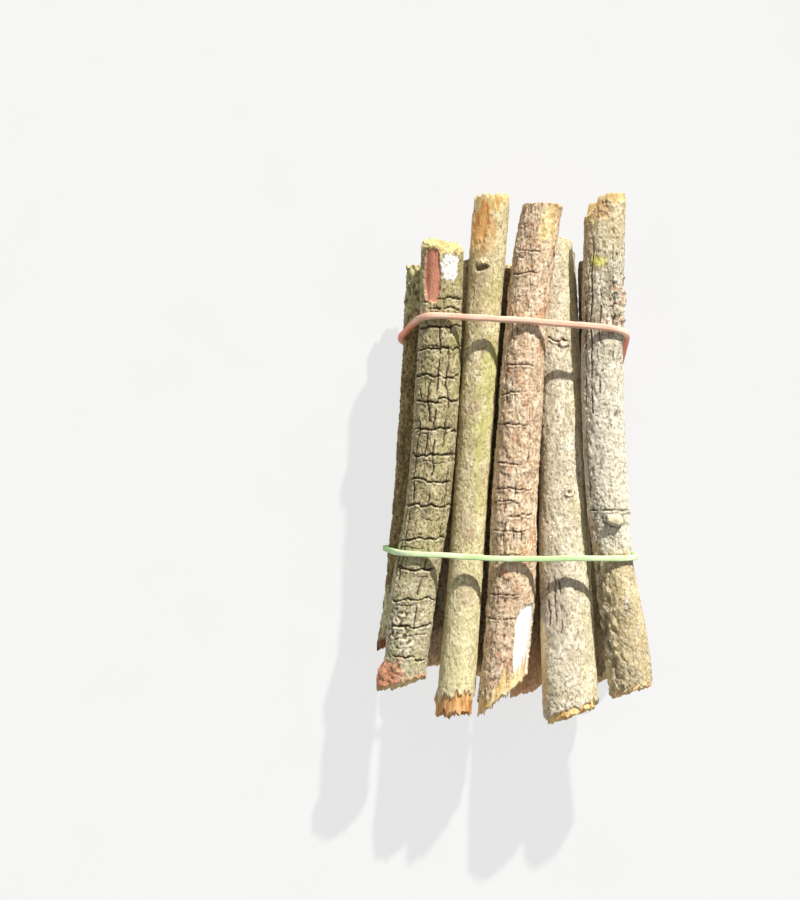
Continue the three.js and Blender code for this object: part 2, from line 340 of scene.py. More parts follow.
    def splinters(self, angles, count, length, thick=0.5):
        """Torn fibres that stand out of the butt between two angles, each a thin cone."""
        middle, across, up = self.butt
        for number in range(count):
            angle = math.radians(self.luck.uniform(*angles))
            out = self.girth * self.luck.uniform(0.45, 0.97)
            x, z = out * math.cos(angle), out * math.sin(angle)
            foot = Vector((middle[0] + x, middle[1] + across * x + up * z, middle[2] + z))
            tall = length * self.luck.uniform(0.4, 1.0) + self.ROOT
            lean = Vector((self.luck.uniform(-0.16, 0.16), -1, self.luck.uniform(-0.12, 0.16))).normalized()
            self.fibres.append((foot, lean, tall, thick * self.luck.uniform(0.6, 1.3)))

    def finish(self, material):
        """Lays out the points, stores the marks on the mesh and hands the twig over."""
        out = self.share * (self.reach_at(self.y) + self.depth)
        x, z = self.middle(self.y).T
        place = np.stack((x + out * np.cos(self.turn), self.y, z + out * np.sin(self.turn)), axis=1)
        self.mesh.vertices.foreach_set("co", (keep_inside(place) * MM).ravel())
        for mark, amount in {**self.marks, "radius": self.share}.items():
            layer = self.mesh.attributes.new(mark, "FLOAT", "POINT")
            layer.data.foreach_set("value", amount.astype(np.float32))
        if self.fibres:
            self.add_fibres()
        self.mesh.shade_smooth()
        self.mesh.materials.append(material)
        self.mesh.update()
        piece = bpy.data.objects.new(self.name + "_bark", self.mesh)
        bpy.context.scene.collection.objects.link(piece)
        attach(piece, "root")
        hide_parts(self.name)

    def add_fibres(self):
        """Joins the splinters to the mesh."""
        skin = bmesh.new()
        skin.from_mesh(self.mesh)
        wood, radius = skin.verts.layers.float["wood"], skin.verts.layers.float["radius"]
        for foot, lean, tall, thick in self.fibres:
            turn = lean.to_track_quat("Z", "Y").to_matrix().to_4x4()
            place = Matrix.Translation((foot + lean * (tall / 2 - self.ROOT)) * MM) @ turn
            cone = bmesh.ops.create_cone(skin, cap_ends=True, cap_tris=True, segments=5, radius1=thick * MM,
                                         radius2=0.2 * thick * MM, depth=tall * MM, matrix=place)
            for vert in cone["verts"]:
                vert[wood] = vert[radius] = 1.0
                vert.co = keep_inside(np.array(vert.co) / MM) * MM
        skin.to_mesh(self.mesh)
        skin.free()


def tint(code):
    """A colour written as six hexadecimal digits, as the linear values that a shader takes."""
    parts = [int(code[k : k + 2], 16) / 255 for k in (0, 2, 4)]
    return tuple(p / 12.92 if p <= 0.04045 else ((p + 0.055) / 1.055) ** 2.4 for p in parts) + (1.0,)


def add(tree, kind, inputs=None, **settings):
    """Adds a shader node. Its inputs are plain values or other nodes' outputs."""
    made = tree.nodes.new("ShaderNode" + kind)
    for label, value in settings.items():
        setattr(made, label, value)
    for label, value in (inputs or {}).items():
        if isinstance(value, bpy.types.NodeSocket):
            tree.links.new(value, made.inputs[label])
        else:
            made.inputs[label].default_value = value
    return made


def blend(tree, share, first, second):
    """Mixes two colours by a share from 0 to 1."""
    return add(tree, "Mix", {0: share, 6: first, 7: second}, data_type="RGBA").outputs[2]


def multiply(tree, first, second):
    """The product of two shares."""
    return add(tree, "Math", {0: first, 1: second}, operation="MULTIPLY").outputs[0]


def span(tree, value, low, high, out_low=0.0, out_high=1.0):
    """A smooth step from out_low to out_high as a value goes from low to high."""
    limits = {"Value": value, "From Min": low, "From Max": high, "To Min": out_low, "To Max": out_high}
    return add(tree, "MapRange", limits, interpolation_type="SMOOTHSTEP").outputs[0]


def mottle(tree, size, stretch=1.0, detail=3.0, roughness=0.6, shift=0.0):
    """Noise in the object's own space: its lumps are size mm wide and stretch times as long."""
    place = {"Vector": add(tree, "TexCoord").outputs["Object"]}
    place |= {"Location": (shift, shift, shift), "Scale": (1.0, 1.0 / stretch, 1.0)}
    place = add(tree, "Mapping", place).outputs[0]
    values = {"Vector": place, "Scale": 1 / (size * MM), "Detail": detail, "Roughness": roughness}
    return add(tree, "TexNoise", values).outputs["Fac"]


def new_group(name, takes, gives):
    """An empty node group with named inputs and outputs."""
    group = bpy.data.node_groups.new(name, "ShaderNodeTree")
    for label, kind, value in takes:
        group.interface.new_socket(name=label, in_out="INPUT", socket_type=kind).default_value = value
    for label, kind in gives:
        group.interface.new_socket(name=label, in_out="OUTPUT", socket_type=kind)
    return group, group.nodes.new("NodeGroupInput").outputs, group.nodes.new("NodeGroupOutput").inputs


COLOUR, NUMBER = "NodeSocketColor", "NodeSocketFloat"
WHITE = (1.0, 1.0, 1.0, 1.0)


def make_bark_tones():
    """Dead outer bark: broad patches, streaks along the grain and specks of dirt."""
    takes = [("Bark", COLOUR, WHITE), ("Pale", COLOUR, WHITE), ("Dark", COLOUR, WHITE)]
    takes += [("Streaks", NUMBER, 0.5), ("Specks", NUMBER, 0.7)]
    group, given, out = new_group("bark_tones", takes, [("Color", COLOUR), ("Height", NUMBER)])
    broad = mottle(group, 22, 1.6, 2.0)
    patch = mottle(group, 3.2, 1.8, 6.0, 0.72, 0.3)
    streak = mottle(group, 0.8, 6.0, 3.0, 0.6, 0.7)
    speck = mottle(group, 0.75, 1.4, 3.0, 0.75, 1.1)
    glint = mottle(group, 0.7, 1.7, 3.0, 0.75, 1.9)
    colour = blend(group, span(group, patch, 0.44, 0.58), given["Bark"], given["Pale"])
    colour = blend(group, span(group, broad, 0.5, 0.68, 0.0, 0.5), colour, given["Bark"])
    streaked = multiply(group, span(group, streak, 0.5, 0.68), given["Streaks"])
    colour = blend(group, streaked, colour, given["Dark"])
    colour = blend(group, span(group, glint, 0.5, 0.62, 0.0, 0.75), colour, given["Pale"])
    specked = multiply(group, span(group, speck, 0.51, 0.61), given["Specks"])
    colour = blend(group, specked, colour, given["Dark"])
    group.links.new(colour, out["Color"])
    pits = span(group, speck, 0.4, 0.62, 1.0, 0.0)
    height = add(group, "Math", {0: pits, 1: glint}, operation="ADD").outputs[0]
    group.links.new(multiply(group, height, 0.5), out["Height"])
    return group


def make_wood_fibres():
    """Bare wood: long fine fibres, lighter and darker in turn, with soft broad shading."""
    takes = [("Light", COLOUR, WHITE), ("Dark", COLOUR, WHITE)]
    group, given, out = new_group("wood_fibres", takes, [("Color", COLOUR), ("Height", NUMBER)])
    fibre = mottle(group, 0.45, 14.0, 3.0, 0.65, 0.2)
    broad = mottle(group, 2.2, 4.0, 3.0, 0.6, 0.9)
    colour = blend(group, span(group, broad, 0.4, 0.62), given["Light"], given["Dark"])
    colour = blend(group, span(group, fibre, 0.42, 0.6, 0.0, 0.6), colour, given["Light"])
    group.links.new(colour, out["Color"])
    group.links.new(fibre, out["Height"])
    return group


RING_WAVE = 38.0  # radians of the rings' ripple from the pith to the bark, which makes six rings


def make_growth_rings():
    """End grain: a dark pith and wandering rings, by a radius that is 0 at the pith and 1 at the bark."""
    group, given, out = new_group("growth_rings", [("Radius", NUMBER, 1.0)], [("Mask", NUMBER)])
    wander = multiply(group, mottle(group, 4, 1.0, 2.0), 0.3)
    place = add(group, "Math", {0: given["Radius"], 1: wander}, operation="ADD").outputs[0]
    wave = add(group, "Math", {0: multiply(group, place, RING_WAVE)}, operation="SINE").outputs[0]
    ring = span(group, wave, 0.1, 1.0, 0.0, 0.5)
    pith = span(group, given["Radius"], 0.06, 0.13, 1.0, 0.0)
    dark = add(group, "Math", {0: ring, 1: pith}, operation="MAXIMUM").outputs[0]
    inside = span(group, given["Radius"], 0.88, 0.95, 1.0, 0.0)
    group.links.new(multiply(group, dark, inside), out["Mask"])
    return group


bark_tones = make_bark_tones()
wood_fibres = make_wood_fibres()
growth_rings = make_growth_rings()


def use_group(tree, group, inputs):
    """Places a node group in a material and gives its outputs."""
    return add(tree, "Group", inputs, node_tree=group).outputs


def bark_material(name, bark, pale, dark, moss="9a9a3c", stain_and_shade="8f4b2c", crack_and_shadow="2e2117", washed_and_highlight="e0dcc8",
                  wood=("f0dfae", "c8904a"), end=("d2bd85", "b08450"), inner=("d08a5a", "a4532f"),
                  streaks=0.5, specks=0.7, bump=0.5):
    """Bark over wood. The marks on the mesh say where moss, stains, cracks and bare wood are, and also where
    painted shade, a painted shadow and painted highlights lie.
    """
    material = bpy.data.materials.new(name)
    material.use_nodes = True
    tree = material.node_tree
    shader = tree.nodes["Principled BSDF"]
    mark = {m: add(tree, "Attribute", attribute_name=m).outputs["Fac"] for m in Twig.MARKS}
    tones = {"Bark": tint(bark), "Pale": tint(pale), "Dark": tint(dark)}
    tones = use_group(tree, bark_tones, tones | {"Streaks": streaks, "Specks": specks})
    cut = use_group(tree, wood_fibres, {"Light": tint(wood[0]), "Dark": tint(wood[1])})
    sawn = use_group(tree, wood_fibres, {"Light": tint(end[0]), "Dark": tint(end[1])})
    peeled = use_group(tree, wood_fibres, {"Light": tint(inner[0]), "Dark": tint(inner[1])})
    clump = span(tree, mottle(tree, 1.1, 1.4, 4.0, 0.75, 2.3), 0.38, 0.6, 0.35, 1.0)
    # the pale mark: washed bark, and painted highlights on the curled lips of cracks
    colour = blend(tree, multiply(tree, mark["pale"], clump), tones["Color"], tint(washed_and_highlight))
    # the stain mark: stains, and on the knotted twig painted shade on its left flank
    colour = blend(tree, multiply(tree, mark["stain_and_shade"], clump), colour, tint(stain_and_shade))
    colour = blend(tree, multiply(tree, mark["moss"], clump), colour, tint(moss))
    colour = blend(tree, mark["white"], colour, tint("f8f8f6"))
    # the crack mark: cracks, furrows and pores, and on the knotted twig a painted shadow under the torn tip
    colour = blend(tree, mark["crack_and_shadow"], colour, tint(crack_and_shadow))
    colour = blend(tree, mark["inner"], colour, peeled["Color"])
    colour = blend(tree, mark["wood"], colour, cut["Color"])
    colour = blend(tree, mark["end"], colour, sawn["Color"])
    radius = add(tree, "Attribute", attribute_name="radius").outputs["Fac"]
    rings = use_group(tree, growth_rings, {"Radius": radius})["Mask"]
    colour = blend(tree, rings, colour, tint(wood[1]))
    tree.links.new(colour, shader.inputs["Base Color"])
    tree.links.new(span(tree, tones["Height"], 0.3, 0.7, 0.95, 0.78), shader.inputs["Roughness"])
    relief = add(tree, "Bump", {"Strength": bump, "Distance": 0.35 * MM, "Height": tones["Height"]})
    tree.links.new(relief.outputs["Normal"], shader.inputs["Normal"])
    shader.inputs["Specular IOR Level"].default_value = 0.25
    return material


FINE, PLAIN, HIDDEN = (160, 540), (112, 380), (80, 270)  # points round and along, by how well a twig shows

for number, (name, fineness, bark) in enumerate((
        ("twig_under_1", PLAIN, ("a8967a", "c8b89c", "6b5843")),
        ("twig_under_2", HIDDEN, ("b4a284", "cec0a2", "71604a")),
        ("twig_under_3", PLAIN, ("b89c78", "d8bc96", "75553a")),
        ("twig_under_4", PLAIN, ("ae9e80", "cabda2", "6c5d48")),
        ("twig_under_5", PLAIN, ("a2937a", "c2b69c", "645646")))):
    twig = Twig(name, fineness, tip_cut=(0.5, 2.5, 0.2), butt_cut=(0.9, 2.2, 0.35), seed=100 + 60 * number)
    twig.roughen(lumps=0.3, furrows=0.25, flakes=0.14)
    twig.bare_end("butt", 2.5, 1.6, drop=0.4)
    if name == "twig_under_3":
        twig.mark("stain_and_shade", 1 - ease(twig.up, 9, 14))
    slot = name.replace("twig", "bark")
    twig.finish(bark_material(slot, *bark, stain_and_shade="e4b488", wood=("e6bc94", "c48a5c")))


# ---- The twigs inside and at the left side ---------------------------------------------------------------
# Three twigs fill the hollows between the layers, and a fourth leans on the left flank, in the shade of its
# neighbour. All are plain bark over pale wood, cut with shears and pressed into place by the bands.

for number, (name, fineness, bark) in enumerate((
        ("twig_inner_left", PLAIN, ("b09a7c", "d0bc9c", "6e583e")),
        ("twig_inner_middle", HIDDEN, ("aa967a", "c4b294", "6e583e")),
        ("twig_inner_right", PLAIN, ("a5957a", "c6b698", "6a5840")))):
    twig = Twig(name, fineness, tip_cut=(0.6, 2.2, 0.25), butt_cut=(0.9, 2.0, 0.3), seed=500 + 60 * number)
    twig.roughen(lumps=0.3, furrows=0.3, flakes=0.18)
    if name == "twig_inner_left":
        twig.mark("stain_and_shade", 1 - ease(twig.up, 7, 11))
    twig.bare_end("butt", 2.0, 1.4)
    slot = name.replace("twig", "bark")
    twig.finish(bark_material(slot, *bark, stain_and_shade="e6c6ac", wood=("ecd0a8", "c09468")))

twig = Twig("twig_side", PLAIN, tip_cut=(1.6, 2.0, 0.3), butt_cut=(1.4, 2.4, 0.4), seed=720)
twig.roughen(lumps=0.4, furrows=0.3, flakes=0.25)
low = twig.butt[0][1]
# a knobbly crust of lichen over its last 17 mm, a second patch of it at the foot, and a red-brown cut
crust = 1 - ease(twig.down + 3 * twig.grain(3, 4, 32), 15, 19)
knobs = twig.grain(1.8, 2.2, 30)
twig.depth += 0.7 * crust * (knobs + 0.4)
twig.mark("moss", 0.3 * crust)
twig.mark("pale", crust * ease(twig.grain(1.2, 1.5, 33), -0.6, -0.1))
twig.mark("crack_and_shadow", 0.5 * crust * ease(-knobs, 0.15, 0.4))
twig.mark("pale", twig.spot(150, low + 9, 3.5, 7.5, ragged=0.5, seed=1))
twig.mark("stain_and_shade", 1 - ease(twig.up + 1.2 * twig.grain(2, 3, 31), 2.0, 3.2))
twig.finish(bark_material(
    "bark_side", "8c764e", "ab9868", "513c24", moss="a8a468", washed_and_highlight="e2dcaa", stain_and_shade="96523a", bump=0.6))


# ---- The smooth twig -------------------------------------------------------------------------------------
# A young shoot, right of the middle, with thin beige-green bark that is still tight. It has two small knots
# and, low on its left, a grey strip where the bark has dried and split. Its foot is torn.

twig = Twig("twig_smooth", FINE, tip_cut=(0.4, 3.0, 0.2), butt_cut=(1.1, 1.8, 0.45), seed=780)
twig.roughen(lumps=0.22, furrows=0.08, flakes=0.1, furrow_width=0.9, furrow_length=4, dirt=0.45)
low, high = twig.butt[0][1], twig.tip[0][1]
# two knots, each a ring round a dimple, and the crack that crosses the upper one
for angle, height, size in ((72, high - 31.5, 1.3), (79, high - 76.8, 1.1)):
    ring = np.hypot(twig.arc(angle), twig.y - height) / size + 0.25 * twig.grain(1, 1, 53)
    twig.depth += 0.5 * np.exp(-((ring - 0.9) ** 2) * 6) - 0.35 * np.exp(-(ring**2) * 5)
    twig.mark("crack_and_shadow", 0.6 * np.exp(-((ring - 1.35) ** 2) * 30) + 0.8 * np.exp(-(ring**2) * 14))
twig.across_crack(high - 31.0, 92, 4.5, open_mm=0.3, deep=0.5, lip=0.3, wander=1.2, jump=0.8, seed=5)
# the dried strip and its splits
strip = twig.spot(128, low + 34, 3.6, 13, ragged=0.35, seed=3)
twig.depth -= 0.2 * strip
twig.mark("stain_and_shade", 0.8 * strip)
for angle, seed in ((110, 1), (122, 2), (138, 3)):
    twig.along_crack(angle, low + 20 + 2 * seed, low + 47 - 2 * seed, open_mm=0.24, deep=0.4, seed=seed)
# both flanks swell, the right one all along and greenish
flank = ease(np.cos(twig.turn) + 0.4 * twig.grain(4, 14, 32), 0.3, 0.8)
twig.depth += 0.7 * flank
twig.depth += 0.7 * ease(-np.cos(twig.turn), 0.2, 0.9) * (1 - ease(twig.y, high - 100, high - 70))
twig.mark("moss", 0.5 * flank)
twig.mark("stain_and_shade", 0.4 * ease(twig.grain(2.6, 9, 54), 0.2, 0.5))
twig.mark("inner", 0.8 * twig.spot(165, low + 16, 2.2, 12, ragged=0.5, seed=6))
twig.bare_end("butt", 1.5, 1.3)
twig.finish(bark_material(
    "bark_smooth", "cdc2a6", "eee4d0", "8e7e66", moss="d3cd98", stain_and_shade="b9ab9c", crack_and_shadow="65513c",
    wood=("f2d698", "c08644"), inner=("efdcae", "d4ad70"), streaks=0.35, specks=0.8, bump=0.4))


# ---- The mossy twig --------------------------------------------------------------------------------------
# A straight shoot, left of the middle, dusted with yellow-green algae. At its tip the bark is peeled down to
# the orange wood beside a knot, and its foot is torn into ochre fibres round a broken side shoot.

twig = Twig("twig_mossy", FINE, tip_cut=(1.5, 1.5, 0.5), butt_cut=(1.9, 1.6, 0.6), seed=840)
twig.roughen(lumps=0.26, furrows=0.05, flakes=0.09, furrow_width=1.1, furrow_length=4, dirt=0.4)
low, high = twig.butt[0][1], twig.tip[0][1]
# the knot, with a dark hollow under it
knot = np.hypot(twig.arc(106), 1.3 * (twig.y - high + 20)) / 1.8
twig.depth += 0.8 * np.exp(-(knot**2) * 1.6)
hollow = twig.spot(112, high - 21.2, 1.7, 0.8, ragged=0.7, soft=0.3, seed=3)
twig.depth -= 0.6 * hollow
twig.mark("crack_and_shadow", 0.8 * hollow)
# algae along the upper right, thickest at mid length, and brown blotches where the bark is rubbed
algae = ease(twig.grain(3.5, 9, 33) + 0.5 * np.cos(twig.turn - 0.7) + 0.05, 0.0, 0.8)
zone = ease(twig.y, high - 104, high - 80) * (1 - ease(twig.y, high - 46, high - 18))
twig.mark("moss", algae * (0.12 + 0.5 * zone))
twig.mark("pale", 0.5 * (1 - ease(twig.up + 5 * twig.grain(4, 8, 34), 30, 52)))
twig.mark("stain_and_shade", 0.6 * twig.spot(92, low + 53, 2.2, 2.2, ragged=0.6, seed=5))
for number, (angle, down) in enumerate((
        (110, 24), (95, 29), (112, 38), (84, 44), (100, 60), (118, 66), (92, 74), (70, 86), (104, 97),
        (88, 118))):
    twig.mark("stain_and_shade", 0.6 * twig.spot(angle, high - down, 2.4, 3.2, ragged=0.7, soft=0.35, seed=6 + number))
# the peeled tip and the torn foot
twig.mark("inner", 0.6 * twig.spot(122, high - 9, 4.2, 8, ragged=0.6, soft=0.5, seed=20))
twig.bare(twig.spot(126, high - 5.5, 2.7, 8.5, ragged=0.4, soft=0.25, lean=-0.05, seed=1), "inner", 0.3)
twig.mark("stain_and_shade", twig.spot(76, high - 8.0, 1.0, 0.9, ragged=0.5, seed=2))
twig.bare_end("tip", 2.8, 3.2, drop=0.3)
twig.bare_end("butt", 5.0, 2.6)
twig.splinters((0, 180), 7, 1.2)
twig.finish(bark_material(
    "bark_mossy", "c9bb90", "ebe0bc", "937f5a", moss="bcc062", stain_and_shade="b09480", crack_and_shadow="665238",
    washed_and_highlight="e9e2b6", wood=("e2b67e", "a86c38"), end=("e6d29c", "c09454"), inner=("e0b070", "b5743a"),
    streaks=0.25, specks=0.85, bump=0.35))


# ---- The brown twig --------------------------------------------------------------------------------------
# The thickest twig, in the middle of the top layer. Its pinkish-brown bark is ridged and flaking. At the foot
# the shears tore a long slice of bark away, so that white wood shows, and the cut is a slant of splinters.

twig = Twig("twig_brown", FINE, tip_cut=(0.3, 2.4, 0.2), butt_cut=(1.4, 1.5, 0.5), seed=900)
twig.roughen(lumps=0.3, furrows=0.16, flakes=0.16, furrow_width=1.2, furrow_length=6, dirt=0.45)
low, high = twig.butt[0][1], twig.tip[0][1]
# ridges along the grain, a fuller left flank, and loose scales with dark edges
twig.depth -= 0.12 * (1 - ease(np.abs(twig.grain(1.5, 12, 35)), 0.0, 0.35))
twig.depth += 0.4 * ease(-np.cos(twig.turn), 0.1, 0.8) * (1 - ease(twig.y, high - 90, high - 70))
scales = twig.grain(2.4, 3.6, 55)
raised = ease(scales, 0.0, 0.07)
twig.depth += 0.18 * (raised - 0.5)
twig.mark("crack_and_shadow", 0.45 * raised * (1 - ease(scales, 0.05, 0.14)))
# cracks across, at so many mm from the tip, and then along
for number, (down, angle, wide) in enumerate((
        (13.5, 110, 5), (20.5, 118, 5.5), (47.5, 100, 5), (56, 128, 4), (65.5, 110, 6), (77, 115, 5),
        (84.5, 95, 7), (88.5, 120, 5), (92.5, 75, 5), (97, 105, 6), (104, 100, 4), (116, 118, 6),
        (123, 125, 5))):
    twig.across_crack(high - down, angle, wide, open_mm=0.24, deep=0.4, lip=0.2, wander=0.6, jump=0.5,
                      seed=number)
for number, (angle, down, length) in enumerate((
        (118, 84, 26), (95, 78, 22), (70, 86, 20), (135, 30, 34), (128, 92, 30), (60, 48, 30),
        (104, 108, 22))):
    twig.along_crack(angle, high - down - length, high - down, open_mm=0.2, deep=0.3, gaps=0.0, seed=number)
# rusty streaks and worn pale ones
rust = ease(twig.grain(0.9, 5, 36), 0.22, 0.4) * ease(twig.grain(5, 16, 37), -0.3, 0.2)
twig.mark("stain_and_shade", 0.6 * rust)
twig.mark("pale", 0.7 * ease(twig.grain(1.1, 14, 58), 0.3, 0.5))
twig.mark("inner", 0.8 * twig.spot(62, high - 5.0, 3.4, 6.0, ragged=0.6, soft=0.3, seed=2))
# the shredded foot and the bare white slice
shreds = twig.up + 7.0 * twig.grain(1.3, 60, 59) + 2.0 * twig.grain(0.6, 60, 60)
twig.bare(1 - ease(shreds, 4.0, 4.6), "inner", 0.4)
twig.bare_end("butt", 2.2, 2.0, drop=0.5)
twig.bare(twig.spot(36, low + 16.2, 4.9, 11.4, ragged=0.06, soft=0.05, lean=0.04, seed=3), "white", 0.7)
twig.splinters((60, 200), 8, 1.6)
twig.finish(bark_material(
    "bark_brown", "cfb494", "efdcc0", "93694a", stain_and_shade="cf8458", washed_and_highlight="f3e4c8", crack_and_shadow="5a3a28",
    wood=("f8e6b8", "d6aa68"), end=("d8c090", "b48a5c"), inner=("f6e4ac", "d4a862"), streaks=0.45,
    specks=0.75, bump=0.5))


# ---- The scaly twig --------------------------------------------------------------------------------------
# An older twig at the left with thick olive-grey bark, cracked crosswise into plates like a crocodile's back.
# Near the tip a strip of bark is gone down to the salmon inner bark, beside a crust of white lichen.

twig = Twig("twig_scaly", FINE, tip_cut=(0.9, 1.5, 0.5), butt_cut=(1.0, 2.0, 0.4), seed=960)
twig.roughen(lumps=0.3, furrows=0.1, flakes=0.15, furrow_width=1.2, furrow_length=4, dirt=0.45)
low, high = twig.butt[0][1], twig.tip[0][1]
twig.depth += 0.35 * ease(np.abs(np.cos(twig.turn)), 0.2, 0.9)
# deep cracks across its upper side, more of them underneath, then short shallow ones and those along it
for number, (down, angle, wide) in enumerate((
        (17.0, 84, 8), (19.5, 75, 6), (24.5, 88, 10), (31.5, 92, 10.5), (40, 100, 10), (47, 82, 10),
        (55.5, 95, 10), (63, 90, 10.5), (70.5, 100, 9.5), (78, 84, 10), (88, 95, 10.5), (97, 100, 7),
        (106, 85, 9), (114, 80, 7.5), (123.5, 75, 7))):
    twig.across_crack(high - down, angle, wide, open_mm=0.32, deep=0.65, wander=0.9, jump=1.0, seed=number)
for number in range(16):
    twig.across_crack(high - 20 - 7.3 * number, 265 + 30 * math.sin(2.3 * number), 9, open_mm=0.34, deep=0.6,
                      wander=1.0, jump=1.0, seed=20 + number)
for number in range(12):
    down, angle, wide = 22 + 8.6 * number, 60 + (37 * number) % 80, 2.0 + number % 3
    twig.across_crack(high - down, angle, wide, open_mm=0.2, deep=0.25, lip=0.1, seed=40 + number)
for number, (angle, top, length) in enumerate((
        (90, 24, 60), (138, 30, 72), (62, 22, 40), (40, 60, 30), (114, 40, 24), (150, 74, 30), (75, 90, 26),
        (200, 25, 60), (250, 30, 80), (300, 28, 70), (345, 26, 55), (20, 24, 90))):
    twig.along_crack(angle, high - top - length, high - top, open_mm=0.26, deep=0.5, wander=0.9, seed=number)
# crumbling pale bark near the foot, moss, and the broken red-brown lump at the foot
crumbs, grit = twig.spot(124, low + 15.5, 6.0, 7.0, ragged=0.5, seed=3), twig.grain(1.0, 1.0, 39)
twig.depth += crumbs * (0.35 * grit - 0.1)
twig.mark("pale", crumbs * ease(grit, -0.2, 0.1))
twig.mark("crack_and_shadow", 0.75 * crumbs * ease(-grit, 0.15, 0.4))
twig.mark("pale", 0.45 * (1 - ease(twig.up + 5 * twig.grain(3, 5, 46), 20, 44)))
twig.mark("moss", ease(twig.grain(3.0, 7, 44), 0.1, 0.5) * 0.5)
twig.mark("stain_and_shade", 1 - ease(twig.up + 1.0 * twig.grain(2, 3, 45), 0.2, 1.2))
lump = twig.spot(152, low + 3.0, 5.4, 4.6, ragged=0.4, seed=4)
twig.depth += 0.5 * lump * twig.grain(1.4, 1.6, 47)
twig.mark("stain_and_shade", lump)
twig.mark("inner", 0.8 * twig.spot(120, low + 0.5, 1.6, 1.4, ragged=0.4, seed=5))
# the lichen crust and, beside it, the bare salmon strip
lichen = twig.spot(68, high - 7.3, 2.8, 3.6, ragged=0.25, soft=0.08, seed=2)
for mark in ("crack_and_shadow", "stain_and_shade", "moss"):
    twig.marks[mark] *= 1 - lichen
twig.depth += 0.15 * lichen
twig.mark("white", lichen * (1 - 0.75 * ease(twig.grain(0.45, 0.5, 38), 0.12, 0.3)))
twig.bare(twig.spot(122, high - 9.5, 3.0, 8.2, ragged=0.12, soft=0.05, lean=0.06, seed=1), "inner", 0.6)
twig.bare_end("tip", 0.9, 1.0, drop=0.3)
twig.finish(bark_material(
    "bark_scaly", "a39770", "cdc198", "655438", moss="a0a05c", stain_and_shade="d98a68", washed_and_highlight="e8e0c8",
    crack_and_shadow="3c2c1c", wood=("e8d8a4", "c49a60"), end=("dccb94", "bc9a5e"), inner=("dc9c80", "b8705a"),
    streaks=0.3, specks=0.85, bump=0.5))


# ---- The knotted twig ------------------------------------------------------------------------------------
# The right-hand twig of the top layer. It kinks at a node, where a side shoot has left a round stub. Above
# the node its bark is grey, split along its left, and below it is tan and rugged.

twig = Twig("twig_knotted", FINE, tip_cut=(0.7, 2.0, 0.45), butt_cut=(1.2, 1.8, 0.5), seed=1020,
            notch=(168, 4.5, 6.0))
twig.roughen(lumps=0.34, furrows=0.2, flakes=0.2, furrow_width=1.2, furrow_length=6)
low, high = twig.butt[0][1], twig.tip[0][1]
node = high - 94.5
# splits along the grey part, and the ring of cracks at the node
twig.along_crack(127, high - 66, high - 12, open_mm=0.24, deep=0.5, gaps=0.7, wander=0.6, seed=1)
twig.along_crack(102, high - 60, high - 20, open_mm=0.2, deep=0.3, seed=2)
twig.along_crack(150, node + 4, high - 30, open_mm=0.3, deep=0.4, seed=3)
twig.along_crack(66, high - 50, high - 8, open_mm=0.2, deep=0.3, seed=4)
twig.across_crack(node + 1, 80, 10, open_mm=0.24, deep=0.35, lip=0.4, wander=0.5, jump=0.3, seed=1)
twig.across_crack(node - 2, 100, 6, open_mm=0.2, deep=0.25, wander=0.8, seed=2)
# a blister on the right and the scar of a bud below it
blister = twig.spot(48, high - 32, 2.8, 6.0, ragged=0.6, seed=1)
twig.depth += blister * (0.6 + 0.8 * twig.grain(1.6, 1.8, 46))
twig.mark("stain_and_shade", 0.7 * blister * ease(twig.grain(1.2, 1.2, 47), -0.1, 0.3))
scar = np.hypot(twig.arc(55), twig.y - (high - 65)) / 1.5 + 0.3 * twig.grain(1.2, 1.2, 56)
twig.depth -= 0.6 * np.exp(-(scar**2) * 1.5)
twig.mark("crack_and_shadow", 0.9 * np.exp(-(scar**2) * 2.5))
# painted shade: the left flank above the node is darkened in patches with the stain colour
shade = ease(twig.arc(165), -5, 2) * ease(twig.y, node, node + 8)
twig.mark("stain_and_shade", 0.3 * shade * ease(twig.grain(1.5, 4, 57), -0.2, 0.3))
# below the node, tan bark with a rugged left side
lower = 1 - ease(twig.y + 2 * twig.grain(4, 6, 49), node - 14, node - 8)
rugged = lower * ease(twig.arc(150), -6, -2) * (1 - ease(twig.arc(150), 5, 8))
ruts = twig.grain(1.8, 2.4, 50)
twig.depth += 0.7 * rugged * ruts
twig.mark("crack_and_shadow", 0.7 * rugged * ease(-ruts, 0.05, 0.35))
twig.mark("pale", (1 - lower) * ease(high - 30 - twig.y + 12 * twig.grain(3, 6, 51), 0, 30) * 0.7)
twig.mark("inner", 0.5 * lower * ease(twig.grain(3.0, 6, 52), -0.7, 0.1))
twig.mark("crack_and_shadow", 0.4 * lower * ease(twig.grain(0.6, 0.7, 63), 0.15, 0.35))
twig.mark("moss", twig.spot(108, high - 19.3, 2.2, 1.6, ragged=0.6, seed=3))
twig.mark("inner", 0.4 * (1 - ease(twig.down + 6 * twig.grain(2, 5, 58), 8, 26)))
# frayed bark left of the node, the stub, and the two ends
frayed = twig.spot(163, node - 7, 3.0, 5.0, ragged=0.6, seed=4)
twig.mark("stain_and_shade", frayed * ease(twig.grain(0.7, 2.5, 48), -0.1, 0.2))
twig.dome(82, node - 1.9, 2.6, 1.7, 1.9)
twig.bare_end("butt", 1.1, 1.2)
torn = twig.spot(112, high - 3.5, 3.2, 3.2, ragged=0.4, soft=0.25, seed=5)
twig.depth -= 0.6 * torn
